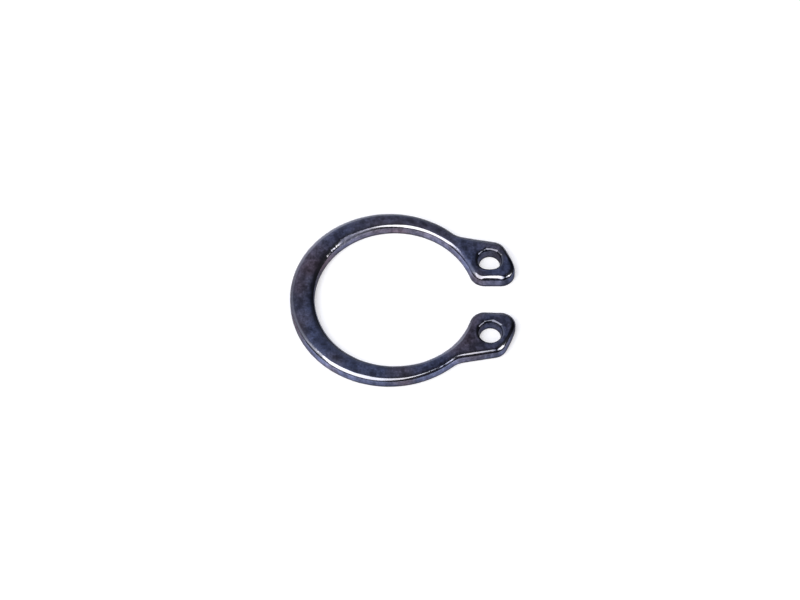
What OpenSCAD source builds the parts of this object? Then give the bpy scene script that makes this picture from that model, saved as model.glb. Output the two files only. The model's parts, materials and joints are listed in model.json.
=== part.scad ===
// Circlip retaining ring for a shaft, in millimetres.
//
// One stamping of spring steel: a band that tapers towards an opening, with a lug on each side
// of it and a round hole in each lug for the tips of circlip pliers. It lies flat, its underside
// at z = 0. The z axis is the axis of the shaft and the opening points along +x.

/* [Band] */
// Inner diameter of the ring while nothing springs it open
free_d = 13.8; // [12.6:0.1:16]
// Thickness of the steel
thick = 1.0; // [0.8:0.05:1.5]
// Width of the band at the back, opposite the opening
back_w = 2.1; // [1.7:0.05:2.8]
// Width to which the band tapers at the middle of the opening
front_w = 1.15; // [0.9:0.05:1.4]

/* [Lugs] */
// Opening between the two lugs
gap_w = 3.0; // [2.2:0.05:4]
// How far a lug stands out from the inner circle
lug_h = 3.85; // [3.2:0.05:4.6]
// Width of a lug along its outer edge, from its gap face to its back
lug_w = 4.05; // [3.4:0.05:4.8]
// Slope of the back of a lug against the centre line of the opening, in degrees
lug_slope = 10; // [0:1:14]
// Radius in the hollow between the band and the back of a lug
neck_r = 2.0; // [0.6:0.1:3]
// Radius of the outer corner at the back of a lug
back_corner_r = 1.25; // [0.7:0.05:1.4]
// Radius of the outer corner at the gap face of a lug
tip_corner_r = 1.25; // [0.8:0.05:1.5]
// Radius of the inner corner at the gap face of a lug
inner_corner_r = 1.35; // [0.7:0.05:1.5]

/* [Plier holes] */
// Diameter of the hole in each lug
hole_d = 1.75; // [1.4:0.05:2.1]
// Distance of the hole's centre from the gap face
hole_in = 2.1; // [1.7:0.05:2.4]
// How much farther out the hole sits than the middle of the lug's height
hole_out = 0.1; // [0:0.05:0.3]

/* [Edges] */
// Radius of the rounded upper edge, round the outline and round the inner circle
edge_roll = 0.45; // [0.2:0.01:0.55]
// Radius of the rounded upper edge of the holes
hole_roll = 0.32; // [0.15:0.01:0.4]
// Width of the broken lower edges
edge_break = 0.12; // [0.05:0.01:0.2]

/* [Hidden] */

// The inner circle bears on the shaft. The outer circle is larger and its centre lies farther
// back, which gives the band its taper
seat_r = free_d / 2;
outer_r = seat_r + (back_w + front_w) / 2;
outer_c = [-(back_w - front_w) / 2, 0];

// A lug lies between its gap face, its back and an outer edge that runs about the shaft's axis
lug_r = seat_r + lug_h;
face_y = gap_w / 2;
back_y = face_y + lug_w;
back_x = sqrt(lug_r * lug_r - back_y * back_y);
back_a = 90 - lug_slope;

// The hole's centre
hole_r = seat_r + lug_h / 2 + hole_out;
hole_y = face_y + hole_in;
hole_c = [sqrt(hole_r * hole_r - hole_y * hole_y), hole_y];

// A rolled edge rises this much past its own quarter circle, so that it meets the flat face in a
// faint crease, as a tumbled stamping does
roll_lift = 0.015;
// Angles at which a lug's outline meets the band's outer circle and its inner circle
neck_meet = 12;
seat_meet = 15;
// Greatest distance between an arc of a lug's outline and its chords
chord_gap = 0.005;
// Steps up a lug's rolled edge
roll_steps = 6;
// Faces round a full turn, and round the small circle of a rolled edge
round_fn = 96;
roll_fn = 32;
// How far a cutter stands clear of what it cuts
over = 1;
// How far a lug's blank reaches past the inner circle, before the cutter takes that away
spare = 0.6;
// How far the blanks of the band and of a lug stand below and above the flat faces, to which the
// joined ring is then cut level
band_spare = [0.1, 0.005];
lug_spare = [0.05, 0.01];

// Vectors and angles in the plane
function unit(a) = [cos(a), sin(a)];
function angle_of(v) = atan2(v[1], v[0]);

// Where a circle about c meets a line, on the side of larger x. The line has its normal at the
// angle a and passes the axis at the distance d
function on_line(c, r, a, d) =
    let (off = d - unit(a) * c)
    c + off * unit(a) + sqrt(r * r - off * off) * [sin(a), -cos(a)];

// Distance between the centres of two circles that meet from outside, at a small angle
function meet_r(r1, r2, meet) = sqrt(r1 * r1 + r2 * r2 + 2 * r1 * r2 * cos(meet));

// Distance of the line of a lug's back from the axis
back_d = unit(back_a) * [back_x, back_y];

// Centres of the roundings, each worked out from the two lines or circles that it joins
neck_c = on_line(outer_c, meet_r(outer_r, neck_r, neck_meet), back_a, back_d + neck_r);
back_corner_c = on_line([0, 0], lug_r - back_corner_r, back_a, back_d - back_corner_r);
tip_corner_c = on_line([0, 0], lug_r - tip_corner_r, 90, face_y + tip_corner_r);
inner_corner_c = on_line([0, 0], meet_r(seat_r, inner_corner_r, seat_meet), 90,
    face_y + inner_corner_r);

// Angles at which one stretch of a lug's outline passes into the next
neck_a = angle_of(neck_c - outer_c);
lug_a0 = angle_of(back_corner_c);
lug_a1 = angle_of(tip_corner_c);
seat_a = angle_of(inner_corner_c);

// The band's blank is open to this angle each side. The lugs fill that, up to their gap faces
open_a = (angle_of(hole_c) + neck_a) / 2;

// A station of an outline is a point, and the direction that faces out of the steel there.
// An arc about c has the steel inside it where side is 1, and outside it where side is -1
function arc(c, r, a0, a1, side = 1) =
    let (steps = max(2, ceil(abs(a1 - a0) / (2 * acos(1 - chord_gap / r)))))
    [for (i = [0:steps]) let (u = unit(a0 + (a1 - a0) * i / steps)) [c + r * u, side * u]];
function without_ends(s) = [for (i = [1:len(s) - 2]) s[i]];

// The outline of one lug. It starts in the band at the neck, runs round the lug and ends inside
// the inner circle. What lies in the band or in the bore is only there to be joined or cut
outline = concat(
    arc(neck_c, neck_r, 180 + neck_a, 180 + back_a, -1),
    arc(back_corner_c, back_corner_r, back_a, lug_a0),
    without_ends(arc([0, 0], lug_r, lug_a0, lug_a1)),
    arc(tip_corner_c, tip_corner_r, lug_a1, -90),
    arc(inner_corner_c, inner_corner_r, -90, seat_a - 180),
    [[(seat_r - spare) * unit(neck_a), -unit(neck_a)]]
);

// Levels of a lug, each a height and how far the outline draws in there: the broken lower edge,
// the sheared wall and the rolled upper edge
roll_z = thick - edge_roll + roll_lift;
roll_a = asin((thick + lug_spare[1] - roll_z) / edge_roll);
levels = concat(
    [[-lug_spare[0], edge_break + lug_spare[0]], [edge_break, 0]],
    [for (i = [0:roll_steps]) let (a = roll_a * i / roll_steps)
        [roll_z + edge_roll * sin(a), edge_roll * (1 - cos(a))]]
);

// Blank of one lug: its outline at every level, joined level by level
module lug_blank() {
    n = len(outline);
    top = len(levels) - 1;
    points = [for (l = levels) for (s = outline) concat(s[0] - l[1] * s[1], l[0])];
    under = [for (i = [n - 1:-1:0]) i];
    sides = [for (k = [0:top - 1]) for (i = [0:n - 1]) let (j = (i + 1) % n)
        [k * n + i, k * n + j, (k + 1) * n + j, (k + 1) * n + i]];
    face = [for (i = [0:n - 1]) top * n + i];
    polyhedron(points, concat([under], sides, [face]));
}

// Half the section of a disc with a rolled upper and a broken lower edge
module disc_section() {
    low = -band_spare[0];
    high = thick + band_spare[1];
    intersection() {
        polygon([[0, low], [outer_r - edge_break + low, low], [outer_r, edge_break],
            [outer_r, high], [0, high]]);
        union() {
            translate([0, low])
                square([outer_r - edge_roll, high - low]);
            translate([0, low])
                square([outer_r, roll_z - low]);
            translate([outer_r - edge_roll, roll_z])
                circle(edge_roll, $fn = roll_fn);
        }
    }
}

// Blank of the band: that disc, open where the lugs go
module band_blank() {
    difference() {
        translate([outer_c[0], 0, 0])
            rotate_extrude($fn = round_fn)
                disc_section();
        translate([0, 0, -over])
            linear_extrude(thick + 2 * over)
                polygon([[0, 0], 2 * lug_r * unit(-open_a), 2 * lug_r * unit(open_a)]);
    }
}

// Cutter of a round opening of radius r: its straight wall, its rolled mouth and its broken
// lower edge
module bore(r, roll) {
    wall_top = thick - roll + roll_lift;
    rotate_extrude($fn = round_fn) {
        translate([0, -over])
            square([r, thick + 2 * over]);
        difference() {
            translate([0, wall_top])
                square([r + roll, thick + over - wall_top]);
            translate([r + roll, wall_top])
                circle(roll, $fn = roll_fn);
        }
        polygon([[0, -over], [r + edge_break + over, -over], [r, edge_break], [0, edge_break]]);
    }
}

// The whole ring
module circlip() {
    color([0.21, 0.2, 0.25])
        difference() {
            intersection() {
                union() {
                    band_blank();
                    lug_blank();
                    mirror([0, 1, 0])
                        lug_blank();
                }
                translate([-2 * lug_r, -2 * lug_r, 0])
                    cube([4 * lug_r, 4 * lug_r, thick]);
            }
            bore(seat_r, edge_roll);
            for (side = [-1, 1])
                translate([hole_c[0], side * hole_c[1], 0])
                    bore(hole_d / 2, hole_roll);
        }
}

circlip();
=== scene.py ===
# %% [markdown]
# # A circlip, modelled as it is made
#
# A circlip is an open ring of spring steel that snaps into a groove on a shaft. The real one is
# punched out of flat strip, tumbled with stones until its upper edges are round, hardened, and then
# blackened in a phosphate bath. This lesson follows that order: first the outline, then the edge
# that runs round it, then the finish, and last the table, the lamps and the camera.
#
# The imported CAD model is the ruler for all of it, so it is loaded first, and its box is kept.

# %% The CAD model
import json
import math

import bmesh
import bpy
import numpy as np
from mathutils import Matrix, Vector


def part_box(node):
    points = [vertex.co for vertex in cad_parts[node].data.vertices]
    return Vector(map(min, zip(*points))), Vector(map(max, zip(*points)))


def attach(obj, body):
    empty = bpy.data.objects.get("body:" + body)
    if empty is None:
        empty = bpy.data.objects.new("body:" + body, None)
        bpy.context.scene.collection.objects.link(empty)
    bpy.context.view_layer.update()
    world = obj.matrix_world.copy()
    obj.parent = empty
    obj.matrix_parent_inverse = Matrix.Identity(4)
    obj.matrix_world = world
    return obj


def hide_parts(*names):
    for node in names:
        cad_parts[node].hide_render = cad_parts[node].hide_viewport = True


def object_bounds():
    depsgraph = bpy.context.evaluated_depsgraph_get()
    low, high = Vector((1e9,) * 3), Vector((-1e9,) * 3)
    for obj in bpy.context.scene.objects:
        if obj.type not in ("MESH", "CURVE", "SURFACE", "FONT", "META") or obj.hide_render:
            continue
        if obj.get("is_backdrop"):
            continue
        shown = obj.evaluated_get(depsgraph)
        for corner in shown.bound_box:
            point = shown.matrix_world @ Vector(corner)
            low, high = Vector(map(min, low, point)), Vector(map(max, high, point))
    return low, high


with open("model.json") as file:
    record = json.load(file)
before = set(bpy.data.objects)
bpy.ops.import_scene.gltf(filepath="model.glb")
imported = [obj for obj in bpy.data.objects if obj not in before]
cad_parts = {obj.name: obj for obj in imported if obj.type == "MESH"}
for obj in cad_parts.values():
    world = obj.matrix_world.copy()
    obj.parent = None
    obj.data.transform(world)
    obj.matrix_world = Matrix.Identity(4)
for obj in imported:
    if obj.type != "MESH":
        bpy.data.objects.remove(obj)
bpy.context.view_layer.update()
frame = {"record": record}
low_corner, high_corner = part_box("circlip")
mm = 0.001
print("solid ring in mm:", [round(v / mm, 3) for v in (*low_corner, *high_corner)])

# %% [markdown]
# ## The sizes
#
# A size that the record states as a mount, or that the CAD box shows, is read from there, so that
# the steel in the picture can't drift away from the solid one. The rest are the stamping tool's own
# radii, which only the outline needs.

# %% Sizes read from the model
mounts = {m["name"]: m for m in frame["record"]["mounts"]}
seat_r = mounts["shaft_seat"]["dims"]["r_mm"] * mm
hole_r = mounts["plier_hole_1"]["dims"]["r_mm"] * mm
hole_spots = [Vector(mounts[name]["pos_m"][:2]) for name in ("plier_hole_1", "plier_hole_2")]
thick = high_corner.z - low_corner.z
outer_r = (high_corner.y - low_corner.y) / 2
outer_x = low_corner.x + outer_r
print(f"seat radius {seat_r / mm:.2f}, outer radius {outer_r / mm:.2f}, steel {thick / mm:.2f} mm")

# %% Sizes of the lugs, from the stamping tool
lug_r = seat_r + 3.85 * mm      # outer edge of a lug, from the shaft's axis
gap_y = 1.5 * mm                # half the opening
lug_w = 4.05 * mm               # a lug's width along its outer edge
back_turn = math.radians(80)    # the way that the back of a lug faces
neck_r = 2.0 * mm               # the hollow between band and lug
back_corner_r = 1.25 * mm
tip_corner_r = 1.25 * mm
inner_corner_r = 1.35 * mm


# %% [markdown]
# ## The outline
#
# The die that punches the ring is ground from circles and straight lines, so the outline is a chain
# of arcs. Each arc's centre is found from the two lines or circles that it joins, as on a drawing
# board. The chain could be a curve object with handles, but then its points would crowd at the
# corners. Here it becomes points at one even spacing, lightly smoothed, because tumbling leaves no
# sharp corner anywhere.

# %% Helpers for arcs
def unit(a):
    return np.array((math.cos(a), math.sin(a)))


def angle_of(v):
    return math.atan2(v[1], v[0])


def centre_by_line(centre, r, facing, distance):
    """The point at radius r from centre that lies on a line, on the side of larger x."""
    off = distance - unit(facing) @ centre
    along = np.array((math.sin(facing), -math.cos(facing)))
    return centre + off * unit(facing) + math.sqrt(r * r - off * off) * along


def arc(centre, r, a0, a1, fineness=0.02 * mm):
    steps = max(2, math.ceil(abs(a1 - a0) * r / fineness))
    return [centre + r * unit(a) for a in np.linspace(a0, a1, steps)]


# %% The chain of arcs round one half
axis = np.zeros(2)
outer_c = np.array((outer_x, 0.0))
back_y = gap_y + lug_w
back_d = unit(back_turn) @ (math.sqrt(lug_r**2 - back_y**2), back_y)
right = math.pi / 2
neck_c = centre_by_line(outer_c, outer_r + neck_r, back_turn, back_d + neck_r)
back_corner_c = centre_by_line(axis, lug_r - back_corner_r, back_turn, back_d - back_corner_r)
tip_corner_c = centre_by_line(axis, lug_r - tip_corner_r, right, gap_y + tip_corner_r)
inner_corner_c = centre_by_line(axis, seat_r + inner_corner_r, right, gap_y + inner_corner_r)
neck_a = angle_of(neck_c - outer_c)
seat_a = angle_of(inner_corner_c)
half = (arc(outer_c, outer_r, math.pi, neck_a)
        + arc(neck_c, neck_r, math.pi + neck_a, math.pi + back_turn)
        + arc(back_corner_c, back_corner_r, back_turn, angle_of(back_corner_c))
        + arc(axis, lug_r, angle_of(back_corner_c), angle_of(tip_corner_c))
        + arc(tip_corner_c, tip_corner_r, angle_of(tip_corner_c), -right)
        + arc(inner_corner_c, inner_corner_r, -right, seat_a - math.pi)
        + arc(axis, seat_r, seat_a, math.pi))
print(f"opening {2 * gap_y / mm:.1f} mm, half the outline is {len(half)} fine points")


# %% Even points, lightly smoothed, and the way out of the steel at each
def even(loop, spacing, soften):
    """A closed loop at one spacing, its corners softened over about that length."""
    loop = np.array(loop)
    step = np.linalg.norm(np.roll(loop, -1, 0) - loop, axis=1)
    keep = step > 1e-9
    loop, step = loop[keep], step[keep]
    along = np.concatenate(([0], np.cumsum(step)))
    closed = np.vstack((loop, loop[:1]))
    count = int(along[-1] / spacing)
    at = np.linspace(0, along[-1], count, endpoint=False)
    loop = np.stack([np.interp(at, along, closed[:, k]) for k in (0, 1)], 1)
    waves = np.fft.fftfreq(count, along[-1] / count)
    blur = np.exp(-2 * (math.pi * soften * waves) ** 2)
    return np.real(np.fft.ifft(np.fft.fft(loop, axis=0) * blur[:, None], axis=0))


def facing_out(loop, steel_inside):
    """Unit vectors square to the loop that point out of the steel."""
    run = np.roll(loop, -1, 0) - np.roll(loop, 1, 0)
    side = np.stack((run[:, 1], -run[:, 0]), 1)
    side /= np.linalg.norm(side, axis=1)[:, None]
    x, y = loop.T
    area = np.sum(x * np.roll(y, -1) - np.roll(x, -1) * y)
    return side * (1 if (area > 0) == steel_inside else -1)


lower_half = [p * (1, -1) for p in reversed(half)]
rim = even(half + lower_half, spacing=0.07 * mm, soften=0.09 * mm)
holes = [even(arc(np.array(spot), hole_r, 0, 2 * math.pi), 0.05 * mm, 0) for spot in hole_spots]
print(f"rim: {len(rim)} points, each hole: {len(holes[0])}")

# %% [markdown]
# ## Marks
#
# Rings are tumbled together in a drum and knock against each other, so their edges carry small
# nicks, and the lips of the holes are a little ragged from the punch. Each nick here is a place on
# the rim or on a lip, a length along it and a depth into the steel. They are stored on the
# outline's points, and the edge section below reads them, so a nick is real geometry that catches
# the light from any side.

# %% Nicks along the rim and the lips
nicks = [  # x, y, length and depth, in mm
    # outer edge, left and near
    (-7.55, -4.0, 0.16, 0.05), (-7.2, -4.7, 0.12, 0.04), (-5.2, -6.9, 0.15, 0.02),
    # inner edge at the upper lug, and the knocked corner of the lower lug
    (6.9, 2.6, 0.15, 0.04), (9.2, -5.2, 0.5, 0.12),
    # the scuffed place on the inner edge
    (-4.9, 4.85, 0.12, 0.06), (-5.3, 4.45, 0.14, 0.08), (-5.75, 3.85, 0.12, 0.06),
    (-4.4, 5.3, 0.1, 0.05),
    # back and neck of the lower lug, and the back of the ring
    (7.3, -5.7, 0.15, 0.03), (4.2, -7.1, 0.2, 0.04), (-8.9, 1.2, 0.14, 0.04),
    # lip of the upper hole
    (7.42, 4.05, 0.14, 0.08), (7.95, 4.45, 0.1, 0.09), (8.65, 4.32, 0.12, 0.07),
    (8.98, 3.95, 0.1, 0.08),
    # lip of the lower hole
    (7.38, -3.2, 0.12, 0.07), (7.75, -2.83, 0.08, 0.08), (8.35, -2.74, 0.14, 0.08),
    (8.88, -3.1, 0.1, 0.09), (9.03, -3.75, 0.1, 0.08),
]


def nick_depth(loop):
    depth = np.zeros(len(loop))
    for x, y, length, deep in np.array(nicks) * mm:
        away = np.linalg.norm(loop - (x, y), axis=1) / length
        depth += deep * np.exp(-away**2) * (away < 4)
    return depth


print(f"{len(nicks)} nicks, the deepest {nick_depth(rim).max() / mm:.3f} mm")

# %% [markdown]
# ## An edge that differs from place to place
#
# The die and the drum don't treat every stretch of the edge alike. So five things are set for the
# whole rim and then changed near a few places: the radius of the rolled edge, how far the sheared
# wall leans in, how wide the face is crowned beside the roll, how much of the finish is worn off
# (above 1 the steel is scuffed as well), and how light or dark the edge is painted. That last one
# is partly the film's own tone and partly painted shade and painted highlight, for how light falls
# on each stretch.

# %% The edge from place to place
edge_names = ("roll", "lean", "crown", "wear", "film")
edge_units = (mm, mm, mm, 1, 1)
# The film number paints the wall and roll lighter or darker: partly film tone, partly painted shade
# where the edge mirrors a shaded table or hole, and painted highlight where it should shine more
rim_edge = (0.44, 0.02, 0.6, 0.75, 1.0)
hole_edge = (0.15, 0.2, 0.1, 0.15, 0.6)
places = [  # x, y and reach in mm, then the roll, lean and crown in mm, the wear and the film there
    (-0.5, -8.5, 4.5, 0.49, 0.0, 0.5, 1.0, 1.65),     # outer edge, near side
    (0.0, 6.9, 4.0, 0.29, 0.08, 0.5, 1.0, 0.85),      # inner edge, far side
    (3.8, 5.9, 1.5, 0.25, 0.06, 0.5, 0.7, 1.5),       # inner edge, towards the upper lug
    (-9.0, 0.0, 5.0, 0.4, 0.0, 0.6, 0.5, 0.95),       # outer edge at the back
    (8.7, 1.4, 2.1, 0.36, 0.3, 0.3, 1.0, 1.1),        # gap face of the upper lug
    (-6.9, 0.0, 4.0, 0.26, 0.0, 0.5, 0.2, 0.35),      # inner edge at the back
    (5.6, 3.6, 1.7, 0.36, 0.05, 0.7, 0.1, 1.5),       # inner edge beside the upper lug
    (7.1, 1.9, 0.5, 0.36, 0.15, 0.3, 0.3, 0.5),       # inner corner of the upper lug
    (7.5, -5.8, 2.0, 0.38, 0.02, 0.35, 0.3, 0.7),     # back of the lower lug
    (4.4, -7.4, 1.5, 0.37, 0.02, 0.4, 0.1, 1.5),      # neck of the lower lug
    (-5.5, -6.8, 2.3, 0.41, 0.0, 0.5, 0.9, 1.7),      # outer edge, left and near
    (7.0, -2.5, 1.6, 0.26, 0.0, 0.12, 0.1, 0.35),     # inner edge beside the lower lug
    (0.0, -6.9, 4.0, 0.3, 0.0, 0.4, 0.4, 0.6),        # inner edge, near side
    (-3.0, 6.15, 1.6, 0.34, 0.05, 0.4, 1.8, 1.1),     # the scuffed place on the inner edge
    (-4.1, 5.4, 0.9, 0.52, 0.05, 0.3, 2.0, 1.0),      # the worst of it
    (10.2, 3.4, 1.5, 0.3, 0.0, 0.3, 0.05, 0.2),       # outer edge of the upper lug
    (9.2, -5.2, 0.5, 0.42, 0.02, 0.2, 1.0, 1.0),      # knocked corner of the lower lug
    (9.6, 1.6, 0.35, 0.3, 0.15, 0.3, 0.0, 0.3),       # end of the upper lug's gap face
    (10.3, -3.2, 1.2, 0.3, 0.0, 0.3, 0.05, 0.25),     # outer edge of the lower lug
    (8.65, -5.6, 0.3, 0.36, 0.0, 0.3, 0.0, 0.5),      # where the lower lug's back ends
    (10.1, 1.9, 0.3, 0.36, 0.1, 0.2, 1.0, 0.6),       # tip of the upper lug
    (8.17, 3.6, 1.1, 0.14, 0.2, 0.1, 0.15, 0.25),     # hole of the upper lug
    (8.17, -3.6, 1.1, 0.15, 0.2, 0.1, 0.2, 0.5),      # hole of the lower lug
    (-5.3, 4.5, 0.6, 0.4, 0.05, 0.3, 0.45, 1.0),      # bright end of the scuffed place
    (8.17, 2.75, 0.75, 0.14, 0.0, 0.1, 0.15, 0.25),   # near lip of the upper hole
]


def edge_at(loop, base):
    """The five numbers of the edge at each point, changed smoothly near each place."""
    values = np.tile(np.array(base), (len(loop), 1))
    for x, y, reach, *local in places:
        share = np.exp(-np.sum((loop / mm - (x, y)) ** 2, axis=1) / reach**2)[:, None]
        values += share * (np.array(local) - values)
    return values


loops = [rim, *holes]
ways = [facing_out(loop, steel_inside=loop is rim) for loop in loops]
values = [edge_at(rim, rim_edge), *(edge_at(hole, hole_edge) for hole in holes)]
all_points, all_ways, shape = np.vstack(loops), np.vstack(ways), np.vstack(values)
dents = np.concatenate([nick_depth(loop) for loop in loops])

# Two crowns that face each other across a narrow stretch share the width their rolls leave
roll_width = 0.9       # of a roll's radius
opposite = -0.2        # two ways out whose product is below this face each other
crown_share = 0.4      # of the free width
crown_gap = 0.02       # and this much less, in mm
least_crown = 0.01
taken = (roll_width * shape[:, 0] + shape[:, 1]) * mm + dents
gaps = np.linalg.norm(all_points[:, None] - all_points[None], axis=2) - taken[:, None] - taken
free = np.where(all_ways @ all_ways.T < opposite, gaps, 1.0).min(axis=1)
room = np.maximum(crown_share * free / mm - crown_gap, least_crown)
shape[:, 2] = np.minimum(shape[:, 2], room)
for k, name in enumerate(edge_names):
    print(f"{name}: {shape[:, k].min():.2f} to {shape[:, k].max():.2f}")

# %% [markdown]
# ## The outline as a mesh
#
# Geometry Nodes can turn a mesh of bare edges into curves and keeps what is stored on its points.
# So the outline and the two holes go in as three closed chains of edges. Each point carries the way
# out of the steel, the five numbers of the edge there, and the depth of a nick.

# %% The chains of edges
blank = bpy.data.meshes.new("circlip_blank")
points, edges = [], []
for loop in loops:
    first, count = len(points), len(loop)
    points += [(x, y, 0) for x, y in loop]
    edges += [(first + i, first + (i + 1) % count) for i in range(count)]
blank.from_pydata(points, edges, [])
out = np.column_stack((all_ways, np.zeros(len(points)))).astype(np.float32)
blank.attributes.new("out", "FLOAT_VECTOR", "POINT").data.foreach_set("vector", out.ravel())
for name, numbers in [*zip(edge_names, (shape * edge_units).T), ("dent", dents)]:
    layer = blank.attributes.new(name, "FLOAT", "POINT")
    layer.data.foreach_set("value", np.ascontiguousarray(numbers, np.float32))
ring = bpy.data.objects.new("circlip_ring", blank)
bpy.context.scene.collection.objects.link(ring)
print(f"{len(points)} points in {len(edges)} edges")


# %% [markdown]
# ## The edge section
#
# Seen end on, the edge of the ring is a broken lower corner, a sheared wall that leans in a little,
# a rolled upper corner, and then a slight crown that dies out in the flat face. It could be made
# with a Bevel modifier, but a bevel gives the same clean arc all round, and tumbled steel isn't
# like that. So the section is a rule of its own, in a node group: given a level from the bottom to
# the top, it says how far in and how high the surface is.

# %% A short way to write node trees
class Tree:
    """Adds nodes to a tree and links them, so that a formula stays readable."""

    def __init__(self, name, kind="GeometryNodeTree"):
        self.tree = bpy.data.node_groups.new(name, kind)
        self.start = self.tree.nodes.new("NodeGroupInput")
        self.end = self.tree.nodes.new("NodeGroupOutput")
        self.columns = 0

    def socket(self, name, kind, way="INPUT", value=None):
        made = self.tree.interface.new_socket(name, in_out=way, socket_type="NodeSocket" + kind)
        if value is not None:
            made.default_value = value
        return made.identifier

    def node(self, kind, inputs=None, **settings):
        made = self.tree.nodes.new(kind)
        made.location = (200 * (self.columns % 12), -260 * (self.columns // 12))
        self.columns += 1
        for name, value in settings.items():
            setattr(made, name, value)
        for name, value in (inputs or {}).items():
            self.put(made.inputs[name], value)
        return made

    def put(self, socket, value):
        if isinstance(value, bpy.types.NodeSocket):
            self.tree.links.new(value, socket)
        else:
            socket.default_value = value

    def math(self, what, *values, clamp=False):
        made = self.node("ShaderNodeMath", dict(enumerate(values)), operation=what, use_clamp=clamp)
        return made.outputs[0]

    def vector(self, what, *values, scale=None):
        made = self.node("ShaderNodeVectorMath", dict(enumerate(values)), operation=what)
        if scale is not None:
            self.put(made.inputs["Scale"], scale)
        return made.outputs[0]

    def given(self, name):
        return self.start.outputs[name]


# %% The rule of the edge section
section = Tree("Edge section")
steps = {"Wall Steps": 3, "Roll Steps": 11, "Crown Steps": 3}
whole = {"Thickness": thick, "Break": 0.07 * mm, "Roll Angle": math.radians(84),
         "Unevenness": 0.08, "Raggedness": 0.012 * mm}
for name in ("Level", "Roll", "Lean", "Crown", "Dent", *steps, *whole):
    section.socket(name, "Float", value={**steps, **whole}.get(name, 0))
for name in ("Path", "Out"):
    section.socket(name, "Vector")
section.socket("Position", "Vector", "OUTPUT")
section.socket("Turn", "Float", "OUTPUT")
s = section


def share_of(first, count):
    """How much of one part of the levels lies below this level, from 0 to 1."""
    return s.math("DIVIDE", s.math("SUBTRACT", s.given("Level"), first), count, clamp=True)


slow = s.node("ShaderNodeTexNoise", {"Vector": s.given("Path"), "Scale": 800.0, "Detail": 1.0},
              normalize=False).outputs["Fac"]
quick = s.node("ShaderNodeTexNoise", {"Vector": s.given("Path"), "Scale": 4200.0, "Detail": 2.0},
               normalize=False).outputs["Fac"]
low = share_of(0.0, 1.0)
wall = share_of(1.0, s.given("Wall Steps"))
roll_from = s.math("ADD", s.given("Wall Steps"), 1.0)
turn = share_of(roll_from, s.given("Roll Steps"))
crown = share_of(s.math("ADD", roll_from, s.given("Roll Steps")), s.given("Crown Steps"))
angle = s.math("MULTIPLY", turn, s.given("Roll Angle"))
radius = s.math("MULTIPLY", s.given("Roll"),
                s.math("MULTIPLY_ADD", slow, s.given("Unevenness"), 1.0))
# The crown starts at the slope at which the roll ends, and dies out level
slope = s.math("DIVIDE", s.given("Crown"), s.math("TANGENT", s.given("Roll Angle")))
crown_height = s.math("MULTIPLY", slope, s.math("SUBTRACT", crown,
                      s.math("MULTIPLY", s.math("MULTIPLY", crown, crown), 0.5)))
roll_top = s.math("SUBTRACT", s.given("Thickness"), s.math("MULTIPLY", slope, 0.5))
roll_base = s.math("SUBTRACT", roll_top,
                   s.math("MULTIPLY", radius, s.math("SINE", s.given("Roll Angle"))))
height = s.math("MULTIPLY", low, s.given("Break"))
height = s.math("MULTIPLY_ADD", wall, s.math("SUBTRACT", roll_base, s.given("Break")), height)
height = s.math("MULTIPLY_ADD", radius, s.math("SINE", angle), height)
height = s.math("ADD", height, crown_height)
inset = s.math("MULTIPLY", s.math("SUBTRACT", 1.0, low), s.given("Break"))
inset = s.math("MULTIPLY_ADD", s.given("Lean"), s.math("DIVIDE", height, s.given("Thickness")),
               inset)
inset = s.math("MULTIPLY_ADD", radius, s.math("SUBTRACT", 1.0, s.math("COSINE", angle)), inset)
inset = s.math("MULTIPLY_ADD", s.given("Crown"), crown, inset)
inset = s.math("MULTIPLY_ADD", s.given("Dent"), turn, inset)
inset = s.math("MULTIPLY_ADD", s.math("MULTIPLY", quick, s.given("Raggedness")),
               s.math("POWER", turn, 3.0), inset)
inward = s.vector("SCALE", s.given("Out"), scale=s.math("MULTIPLY", inset, -1.0))
upward = s.node("ShaderNodeCombineXYZ", {"Z": height}).outputs[0]
place = s.vector("ADD", s.given("Path"), s.vector("ADD", inward, upward))
s.tree.links.new(place, s.end.inputs["Position"])
s.tree.links.new(s.math("ADD", turn, crown), s.end.inputs["Turn"])
print(f"edge section: {len(s.tree.nodes)} nodes")

# %% [markdown]
# ## The ring
#
# The main tree turns the chains into curves and sweeps a plain strip along them. Curve to Mesh only
# has to make the faces; where each point lies is then set by the rule above, and so are the rims of
# the two flat faces, which Fill Curve closes. Because strip and faces ask the same rule, their
# points meet exactly, and Merge by Distance makes one closed skin. Fill Curve always lays its face
# at height zero, so the upper one is lifted by the thickness.

# %% The tree that sweeps and closes the ring
stamp = Tree("Stamped ring")
t = stamp
t.socket("Geometry", "Geometry")
sockets = {name: t.socket(name, "Float", value=value) for name, value in whole.items()}
sockets |= {name: t.socket(name, "Int", value=count) for name, count in steps.items()}
sockets["Finish"] = t.socket("Finish", "Material")
t.socket("Geometry", "Geometry", "OUTPUT")


def stored(name, kind="FLOAT"):
    made = t.node("GeometryNodeInputNamedAttribute", {"Name": name}, data_type=kind)
    return made.outputs["Attribute"]


def by_section(level):
    """Where the rule puts this level, and how far round the roll and the crown it is."""
    group = t.node("GeometryNodeGroup", node_tree=section.tree)
    for name in (*steps, *whole):
        t.put(group.inputs[name], t.given(name))
    for name in ("roll", "lean", "crown", "dent"):
        t.put(group.inputs[name.capitalize()], stored(name))
    for name, value in [("Level", level), ("Path", stored("path", "FLOAT_VECTOR")),
                        ("Out", stored("out", "FLOAT_VECTOR"))]:
        t.put(group.inputs[name], value)
    return group.outputs["Position"], group.outputs["Turn"]


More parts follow.
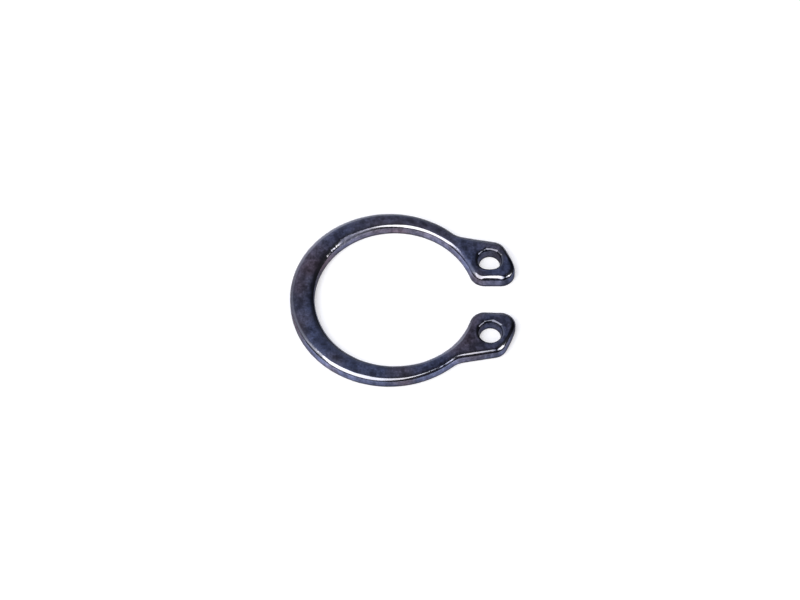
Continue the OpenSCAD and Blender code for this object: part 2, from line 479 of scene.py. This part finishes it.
here = t.node("GeometryNodeInputPosition").outputs[0]
outlines = t.node("GeometryNodeStoreNamedAttribute", {"Geometry": t.given("Geometry"),
                  "Name": "path", "Value": here}, data_type="FLOAT_VECTOR", domain="POINT")
curves = t.node("GeometryNodeMeshToCurve", {"Mesh": outlines.outputs[0]}).outputs[0]
last = t.math("ADD", t.math("ADD", t.given("Wall Steps"), t.given("Roll Steps")),
              t.math("ADD", t.given("Crown Steps"), 1.0))
line = t.node("GeometryNodeCurvePrimitiveLine").outputs[0]
strip = t.node("GeometryNodeResampleCurve", {"Curve": line, "Count": t.math("ADD", last, 1.0)})
level_no = t.node("GeometryNodeInputIndex").outputs[0]
levels = t.node("GeometryNodeStoreNamedAttribute", {"Geometry": strip.outputs[0], "Name": "level",
                "Value": level_no}, data_type="FLOAT", domain="POINT")
swept = t.node("GeometryNodeCurveToMesh", {"Curve": curves, "Profile Curve": levels.outputs[0]})
place, turn = by_section(stored("level"))
edge = t.node("GeometryNodeSetPosition", {"Geometry": swept.outputs[0], "Position": place})
edge = t.node("GeometryNodeStoreNamedAttribute", {"Geometry": edge.outputs[0],
              "Name": "rolled", "Value": turn}, data_type="FLOAT", domain="CORNER").outputs[0]
edge = t.node("GeometryNodeSetShadeSmooth", {"Geometry": edge, "Shade Smooth": True}).outputs[0]
faces = []
for level, height, rolled in ((last, t.given("Thickness"), 2.0), (0.0, 0.0, 2.0)):
    place, turn = by_section(level)
    rim_curve = t.node("GeometryNodeSetPosition", {"Geometry": curves, "Position": place})
    filled = t.node("GeometryNodeFillCurve", {"Curve": rim_curve.outputs[0]}).outputs[0]
    lift = t.node("ShaderNodeCombineXYZ", {"Z": height}).outputs[0]
    filled = t.node("GeometryNodeSetPosition", {"Geometry": filled, "Offset": lift}).outputs[0]
    flat = t.node("GeometryNodeStoreNamedAttribute", {"Geometry": filled, "Name": "rolled",
                  "Value": rolled}, data_type="FLOAT", domain="CORNER").outputs[0]
    faces.append(t.node("GeometryNodeSetShadeSmooth", {"Geometry": flat,
                                                       "Shade Smooth": False}).outputs[0])
join = t.node("GeometryNodeJoinGeometry")
for surface in (edge, *faces):
    t.tree.links.new(surface, join.inputs[0])
merged = t.node("GeometryNodeMergeByDistance", {"Geometry": join.outputs[0],
                                                "Distance": 0.002 * mm}).outputs[0]
real = t.node("GeometryNodeRealizeInstances", {"Geometry": merged}).outputs[0]
done = t.node("GeometryNodeSetMaterial", {"Geometry": real, "Material": t.given("Finish")})
t.tree.links.new(done.outputs[0], t.end.inputs[0])
print(f"ring: {len(t.tree.nodes)} nodes")

# %% [markdown]
# ## The finish
#
# Spring steel of this kind leaves the bath blue-black, with a film so thin that the metal still
# shines through it: a dark mirror, a little blurred. So the shader is metallic all over. What makes
# it look real is what varies. The film drifts in tint from blue to brown and is mottled where it
# grew unevenly. The sheared wall shows marks that run the way the punch went, and is painted darker
# at its foot as painted shade, where the ring meets the table. Along the edge the film is also
# painted lighter or darker from place to place, as painted shade and painted highlight. The rolled
# edge is worn, and brighter steel shows through there.
#
# The tree has left a number on every corner of a face: 0 up the wall, rising to 1 over the roll and
# to 2 across the crown, and 2 on both flat faces. The shader halves it, and so knows which part of
# the section it is on.

# %% Helpers for shader trees
steel = bpy.data.materials.new("blackened_spring_steel")
steel.use_nodes = True
m = steel.node_tree
shader = m.nodes["Principled BSDF"]
shader.inputs["Metallic"].default_value = 1.0


def shade(kind, inputs=None, **settings):
    made = m.nodes.new(kind)
    for name, value in settings.items():
        setattr(made, name, value)
    for name, value in (inputs or {}).items():
        if isinstance(value, bpy.types.NodeSocket):
            m.links.new(value, made.inputs[name])
        else:
            made.inputs[name].default_value = value
    return made


def ramp(value, *stops):
    made = shade("ShaderNodeValToRGB", {"Fac": value})
    points = made.color_ramp.elements
    while len(points) < len(stops):
        points.new(0.5)
    for point, (where, colour) in zip(points, stops):
        point.position = where
        point.color = (*colour, 1) if isinstance(colour, tuple) else (colour, colour, colour, 1)
    return made.outputs["Color"]


def mixed(a, b, share, way="MIX"):
    made = shade("ShaderNodeMix", data_type="RGBA", blend_type=way)
    for name, value in (("Factor_Float", share), ("A_Color", a), ("B_Color", b)):
        socket = next(i for i in made.inputs if i.identifier == name)
        if isinstance(value, bpy.types.NodeSocket):
            m.links.new(value, socket)
        else:
            socket.default_value = value
    return next(o for o in made.outputs if o.identifier == "Result_Color")


def sums(what, *values, clamp=False):
    made = shade("ShaderNodeMath", dict(enumerate(values)), operation=what, use_clamp=clamp)
    return made.outputs[0]


def noise(where, scale, detail=3.0, rough=0.5):
    return shade("ShaderNodeTexNoise", {"Vector": where, "Scale": scale, "Detail": detail,
                                        "Roughness": rough}).outputs["Fac"]


# %% Where on the section a point lies
spot = shade("ShaderNodeTexCoord").outputs["Object"]
rolled = sums("MULTIPLY", shade("ShaderNodeAttribute", attribute_name="rolled").outputs["Fac"], 0.5)
wear = shade("ShaderNodeAttribute", attribute_name="wear").outputs["Fac"]
ragged = noise(spot, 2600.0, 4.0, 0.65)
grain = noise(spot, 5200.0, 4.0, 0.65)
mottle = noise(spot, 1500.0, 3.0, 0.6)
on_wall = ramp(rolled, (0.02, 1.0), (0.16, 0.0))
on_face = ramp(rolled, (0.5, 0.0), (0.75, 1.0))
film_tone_and_painted_light = shade("ShaderNodeAttribute", attribute_name="film").outputs["Fac"]
scuffed = sums("MULTIPLY", sums("SUBTRACT", wear, 1.0, clamp=True),
               ramp(rolled, (0.04, 0.0), (0.14, 1.0), (0.42, 1.0), (0.5, 0.0)))

# %% The film and the bare steel
# The tint drifts slowly from blue on the near side to brown on the far side and at the back
drift = shade("ShaderNodeVectorMath", {0: spot, 1: (-3, 8, 0)}, operation="DOT_PRODUCT")
film = ramp(sums("ADD", noise(spot, 230.0, 2.0), drift.outputs["Value"]),
            (0.4, (0.132, 0.150, 0.248)), (0.54, (0.168, 0.160, 0.222)),
            (0.68, (0.205, 0.156, 0.195)))
# Painted light and shade: the film number from each place lightens or darkens the wall and roll,
# partly film tone, partly painted shade and painted highlight
film = mixed(film, film_tone_and_painted_light, sums("SUBTRACT", 1.0, on_face), "MULTIPLY")
film = mixed(film, ramp(mottle, (0.38, 0.2), (0.62, 0.72)), sums("MULTIPLY_ADD", on_face, 0.4, 0.4),
             "OVERLAY")
film = mixed(film, ramp(grain, (0.38, 0.3), (0.62, 0.68)), 0.6, "OVERLAY")
upright = shade("ShaderNodeVectorMath", {0: spot, 1: (1, 1, 0.15)}, operation="MULTIPLY")
streaks = ramp(noise(upright.outputs[0], 2500.0, 4.0, 0.7), (0.3, 0.25), (0.7, 0.68))
film = mixed(film, streaks, sums("MULTIPLY", on_wall, 0.8), "OVERLAY")
# Painted shade: the wall is darkened towards its foot, standing in for the shadow where the ring
# meets the table
up = shade("ShaderNodeSeparateXYZ", {"Vector": spot}).outputs["Z"]
painted_foot_shade = ramp(sums("DIVIDE", up, thick, clamp=True), (0.08, 0.15), (0.28, 1.0))
film = mixed(film, painted_foot_shade, sums("SUBTRACT", 1.0, on_face), "MULTIPLY")
fray = sums("MULTIPLY_ADD", sums("SUBTRACT", ragged, 0.5), 0.1, rolled)
fray = sums("MULTIPLY_ADD", scuffed, 0.12, fray)
worn = ramp(fray, (0.19, 0.0), (0.26, 1.0), (0.48, 1.0), (0.53, 0.12), (1.0, 0.0))
worn = sums("MULTIPLY", worn, sums("MULTIPLY_ADD", scuffed, -0.8, sums("MINIMUM", wear, 1.0)))
worn = sums("MULTIPLY", worn, ramp(noise(spot, 700.0, 3.0), (0.3, 0.88), (0.6, 1.0)))
scrapes = sums("MULTIPLY", scuffed, ramp(ragged, (0.46, 0.15), (0.6, 1.0)))
worn = sums("MAXIMUM", worn, scrapes)
bare = mixed((0.46, 0.455, 0.475, 1), (0.36, 0.36, 0.45, 1), scuffed)
colour = mixed(film, bare, worn)
m.links.new(colour, shader.inputs["Base Color"])

# %% Its roughness and its fine relief
blur = ramp(rolled, (0.0, 0.34), (0.2, 0.17), (0.5, 0.11), (0.85, 0.2), (1.0, 0.21))
blur = mixed(blur, ramp(grain, (0.3, 0.35), (0.7, 0.65)), 0.5, "OVERLAY")
blur = mixed(blur, (0.45, 0.45, 0.45, 1), scuffed)
m.links.new(blur, shader.inputs["Roughness"])
shader.inputs["Specular Tint"].default_value = (0.5, 0.5, 0.54, 1)
relief = sums("MULTIPLY_ADD", mottle, 0.6, grain)
strength = sums("MULTIPLY_ADD", scuffed, 0.8, ramp(rolled, (0.0, 0.1), (0.2, 0.02), (0.5, 0.02),
                                                   (0.8, 0.04)))
bump = shade("ShaderNodeBump", {"Height": relief, "Strength": strength, "Distance": 0.015 * mm})
m.links.new(bump.outputs[0], shader.inputs["Normal"])
print(f"finish: {len(m.nodes)} nodes")

# %% [markdown]
# ## Running the tree
#
# The modifier's inputs are found by their identifiers and set before the object is looked at for
# the first time. The result is then copied to a plain mesh and the modifier is taken off.

# %% The ring as a plain mesh
sweep = ring.modifiers.new("stamp", "NODES")
sweep.node_group = stamp.tree
for name, value in {**whole, **steps, "Finish": steel}.items():
    sweep[sockets[name]] = value
shaped = bpy.data.meshes.new_from_object(
    ring.evaluated_get(bpy.context.evaluated_depsgraph_get()))
ring.modifiers.remove(sweep)
ring.data = shaped
work = bmesh.new()
work.from_mesh(shaped)
bmesh.ops.recalc_face_normals(work, faces=work.faces)
if work.calc_volume(signed=True) < 0:
    bmesh.ops.reverse_faces(work, faces=work.faces)
open_edges = sum(1 for e in work.edges if len(e.link_faces) != 2)
volume = work.calc_volume()
work.to_mesh(shaped)
work.free()
shaped.calc_loop_triangles()
print(f"ring: {len(shaped.loop_triangles)} triangles, {open_edges} open edges, "
      f"{volume / mm**3:.1f} mm3")

# %% [markdown]
# ## The table and the lamps
#
# The ring lies on white paper under a wide soft box. Its shine is mostly the room seen in it, with
# some painted shade and painted highlight along the edge, so the room is made as carefully as the
# ring: the soft box over the maker's left shoulder, a small lamp to the right and a weak one to the
# left, a broad bluish window glow beyond the table, and darkness behind the camera.

# %% Table
size = 0.9
table_mesh = bpy.data.meshes.new("table")
table_mesh.from_pydata([(-size, -size, 0), (size, -size, 0), (size, size, 0), (-size, size, 0)],
                       [], [(0, 1, 2, 3)])
table = bpy.data.objects.new("table", table_mesh)
bpy.context.scene.collection.objects.link(table)
paper = bpy.data.materials.new("paper")
paper.use_nodes = True
m = paper.node_tree
m.nodes.clear()
path = shade("ShaderNodeLightPath").outputs
seen = sums("MAXIMUM", sums("MAXIMUM", path["Is Camera Ray"], path["Is Glossy Ray"]),
            path["Is Transmission Ray"])
dull = shade("ShaderNodeBsdfDiffuse", {"Color": (0.82, 0.82, 0.83, 1)})
glow = shade("ShaderNodeEmission", {"Color": (0.97, 0.96, 1, 1),
                                    "Strength": sums("MULTIPLY", seen, 0.3)})
both = shade("ShaderNodeAddShader", {0: dull.outputs[0], 1: glow.outputs[0]})
m.links.new(both.outputs[0], shade("ShaderNodeOutputMaterial").inputs["Surface"])
table_mesh.materials.append(paper)
table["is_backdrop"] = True
print("table", 2 * size, "m wide")


# %% Lamps
def soft_box(name, direction, distance, width, height, radiance, colour=(1, 1, 1)):
    """A rectangular lamp that faces the ring. Its power follows from how bright it should look."""
    lamp = bpy.data.lights.new(name, "AREA")
    lamp.shape = "RECTANGLE"
    lamp.size, lamp.size_y = width, height
    lamp.energy = radiance * math.pi * width * height
    lamp.color = colour
    holder = bpy.data.objects.new(name, lamp)
    bpy.context.scene.collection.objects.link(holder)
    away = Vector(direction).normalized()
    holder.matrix_world = (Matrix.Translation(away * distance)
                           @ away.to_track_quat("Z", "Y").to_matrix().to_4x4())
    return holder


def toward(azimuth, elevation):
    a, e = math.radians(azimuth), math.radians(elevation)
    return (math.cos(a) * math.cos(e), math.sin(a) * math.cos(e), math.sin(e))


soft_box("key", toward(-126, 60), 0.5, 0.48, 0.72, 2.9)
soft_box("left", toward(192, 50), 0.6, 0.3, 0.3, 0.7)
soft_box("right", toward(-15, 41), 0.5, 0.16, 0.3, 3.0)

# %% The room
world = bpy.data.worlds.new("room")
bpy.context.scene.world = world
world.use_nodes = True
m = world.node_tree
way = shade("ShaderNodeTexCoord").outputs["Generated"]
near_window = shade("ShaderNodeVectorMath", {0: way, 1: toward(135, 28)},
                    operation="DOT_PRODUCT").outputs["Value"]
window = ramp(near_window, (0.0, 0.06), (0.42, 0.06), (0.56, 0.09), (0.64, 0.17), (0.71, 0.33),
              (0.82, 0.52), (0.92, 0.8))
window = mixed(window, (0.76, 0.82, 1, 1), 1.0, "MULTIPLY")
m.links.new(window, m.nodes["Background"].inputs["Color"])
print(f"room: {len(m.nodes)} nodes")

# %% [markdown]
# ## The camera
#
# The camera looks down at the ring from a long way off through a long lens. Its angles and distance
# were found from the ring's own circles, whose real shapes are known.

# %% Camera
view_up, view_roll, view_turn = (math.radians(a) for a in (58.552, 0.112, -0.211))
offset = Vector((-0.443, -0.138, 386.93)) * mm
turned = (Matrix.Rotation(view_roll, 3, "Z") @ Matrix.Rotation(view_up - math.pi / 2, 3, "X")
          @ Matrix.Rotation(view_turn, 3, "Z"))
camera = bpy.data.cameras.new("camera")
camera.sensor_width = 36
camera.lens = 202.5
viewer = bpy.data.objects.new("camera", camera)
bpy.context.scene.collection.objects.link(viewer)
viewer.matrix_world = (turned.transposed().to_4x4()
                       @ Matrix.Translation(Vector((-offset.x, -offset.y, offset.z))))
bpy.context.scene.camera = viewer
bpy.context.scene.view_settings.view_transform = "Standard"
print("camera at", [round(v, 3) for v in viewer.matrix_world.translation])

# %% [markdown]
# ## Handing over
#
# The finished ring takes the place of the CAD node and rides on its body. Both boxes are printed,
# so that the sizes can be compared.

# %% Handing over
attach(ring, "root")
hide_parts("circlip")
bpy.context.view_layer.update()
low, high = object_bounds()
print("visual box in mm:", [round(v / mm, 3) for v in (*low, *high)])
